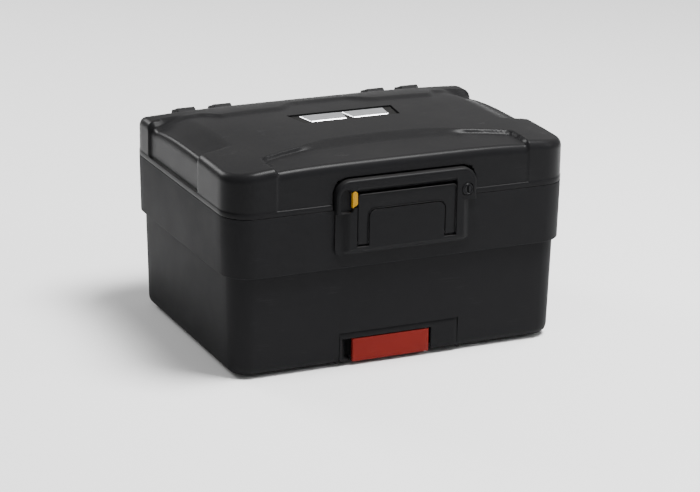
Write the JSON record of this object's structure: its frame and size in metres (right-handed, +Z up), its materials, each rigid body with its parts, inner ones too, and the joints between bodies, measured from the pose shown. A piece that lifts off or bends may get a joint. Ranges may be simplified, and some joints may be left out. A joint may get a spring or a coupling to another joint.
{
  "type": "top case",
  "caption": "Hard luggage case for a motorcycle rack: tub with a sliding upper shell, hinged lid, fold-out carry handle, push-button latch, key lock and rack release lever.",
  "frame": {"origin": "centre of the underside, on the plane where the rack plate and the rubber buffers touch the rack", "axes": "+X to the right of a viewer who faces the latch, +Y from the latch to the hinges, +Z up"},
  "size_m": [0.41, 0.3302, 0.2432],
  "materials": {
    "case_black": "fine-grained satin moulding",
    "inner_black": "smooth matte moulding",
    "rubber": "matte",
    "zinc_steel": "bright zinc",
    "release_red": "satin moulding",
    "button_yellow": "satin moulding",
    "badge_silver": "satin silver",
    "lever_grey": "satin moulding"
  },
  "bodies": {
    "base": {"lower_shell": "case_black", "floor_mat": "rubber", "rack_plate": "zinc_steel", "rack_screw_1": "zinc_steel", "rack_screw_2": "zinc_steel", "rack_screw_3": "zinc_steel", "rack_screw_4": "zinc_steel", "buffer_front_left": "rubber", "buffer_front_right": "rubber", "buffer_rear_left": "rubber", "buffer_rear_right": "rubber", "release_bezel": "inner_black", "release_pin": "zinc_steel", "bolt_keeper": "zinc_steel", "guide_rail_left": "inner_black", "guide_rail_right": "inner_black"},
    "release_lever": {"release_lever": "release_red"},
    "rack_bolt": {"rack_bolt": "zinc_steel"},
    "upper": {"upper_shell": "case_black", "lid_seal": "rubber", "latch_housing": "case_black", "handle_pin_left": "zinc_steel", "handle_pin_right": "zinc_steel", "hook_pin": "zinc_steel", "lock_barrel": "case_black", "hinge_base_left": "case_black", "hinge_base_right": "case_black", "hinge_pin_left": "zinc_steel", "hinge_pin_right": "zinc_steel", "hinge_base_screw_left_1": "zinc_steel", "hinge_base_screw_left_2": "zinc_steel", "hinge_base_screw_right_1": "zinc_steel", "hinge_base_screw_right_2": "zinc_steel"},
    "volume_lever_left": {"volume_lever_left": "lever_grey"},
    "volume_lever_right": {"volume_lever_right": "lever_grey"},
    "carry_handle": {"carry_handle": "case_black"},
    "release_button": {"release_button": "button_yellow"},
    "latch_hook": {"latch_hook": "zinc_steel"},
    "lock_cylinder": {"lock_cylinder": "case_black"},
    "lid": {"lid_shell": "case_black", "lid_liner": "inner_black", "badge_bed": "inner_black", "badge_plate_left": "badge_silver", "badge_plate_right": "badge_silver", "hinge_leaf_left": "case_black", "hinge_leaf_right": "case_black", "striker_plate": "zinc_steel"}
  },
  "joints": [
    {"name": "release_lever_hinge", "type": "hinge", "parent": "base", "child": "release_lever", "pos_m": [0.034, -0.1406, 0.018], "axis": [0, 0, 1], "range_deg": [0, 60], "stiffness_Nm_per_rad": 0.02},
    {"name": "rack_bolt_slide", "type": "slide", "parent": "base", "child": "rack_bolt", "axis": [0, -1, 0], "range_m": [0, 0.0064]},
    {"name": "volume_slide", "type": "slide", "parent": "base", "child": "upper", "axis": [0, 0, 1], "range_m": [0, 0.05]},
    {"name": "volume_lever_left_hinge", "type": "hinge", "parent": "upper", "child": "volume_lever_left", "pos_m": [-0.1855, 0, 0.112], "axis": [-1, 0, 0], "range_deg": [0, 90]},
    {"name": "volume_lever_right_hinge", "type": "hinge", "parent": "upper", "child": "volume_lever_right", "pos_m": [0.1855, 0, 0.112], "axis": [-1, 0, 0], "range_deg": [0, 90]},
    {"name": "carry_handle_hinge", "type": "hinge", "parent": "upper", "child": "carry_handle", "pos_m": [0, -0.1565, 0.146], "axis": [1, 0, 0], "range_deg": [0, 95]},
    {"name": "release_button_slide", "type": "slide", "parent": "upper", "child": "release_button", "axis": [0, 1, 0], "range_m": [0, 0.004], "stiffness_N_per_m": 400},
    {"name": "latch_hook_hinge", "type": "hinge", "parent": "upper", "child": "latch_hook", "pos_m": [-0.063, -0.1498, 0.202], "axis": [1, 0, 0], "range_deg": [0, 19]},
    {"name": "lock_cylinder_hinge", "type": "hinge", "parent": "upper", "child": "lock_cylinder", "pos_m": [0.0725, -0.155, 0.193], "axis": [0, 1, 0], "range_deg": [0, 90]},
    {"name": "lid_hinge", "type": "hinge", "parent": "upper", "child": "lid", "pos_m": [0, 0.163, 0.1844], "axis": [-1, 0, 0], "range_deg": [0, 100]}
  ],
  "couplings": [
    {"joint": "rack_bolt_slide", "follows": "release_lever_hinge", "m_per_rad": 0.006077},
    {"joint": "latch_hook_hinge", "follows": "release_button_slide", "rad_per_m": 82}
  ]
}
